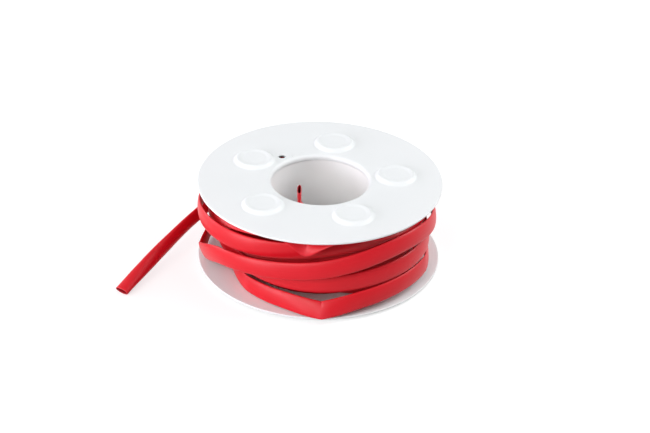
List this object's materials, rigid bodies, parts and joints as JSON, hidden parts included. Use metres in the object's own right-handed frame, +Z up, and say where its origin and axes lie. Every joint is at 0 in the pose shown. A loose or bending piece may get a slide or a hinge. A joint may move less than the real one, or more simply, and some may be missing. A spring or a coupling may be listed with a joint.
{
  "type": "reel of flat heat-shrink tubing",
  "caption": "Plastic reel with thin round flanges, a wide open bore and raised round bumps, wound with loose turns of flat red heat-shrink tubing whose free end trails off to one side.",
  "frame": {"origin": "on the reel's axis at the lower bore lip, where its straight wall starts above the rounded mouth, 1.5 mm above the lower flange's outer face", "axes": "+Z up along the bore axis, the reel standing on the bumps of its lower flange; -Y towards the front, where the loose turns have their sharp crease; +X to the right; the free tail leaves towards -X and -Y"},
  "size_m": [0.1446, 0.1124, 0.0422],
  "materials": {
    "flange_plastic": "satin, cool white",
    "barrel_plastic": "satin, warm off-white",
    "tubing": "satin, saturated red"
  },
  "bodies": {
    "root": {"upper_flange": "flange_plastic", "lower_flange": "flange_plastic", "barrel": "barrel_plastic", "tubing_core": "tubing", "tubing_winding": "tubing", "tubing_tail": "tubing", "tubing_start": "tubing"}
  },
  "joints": []
}
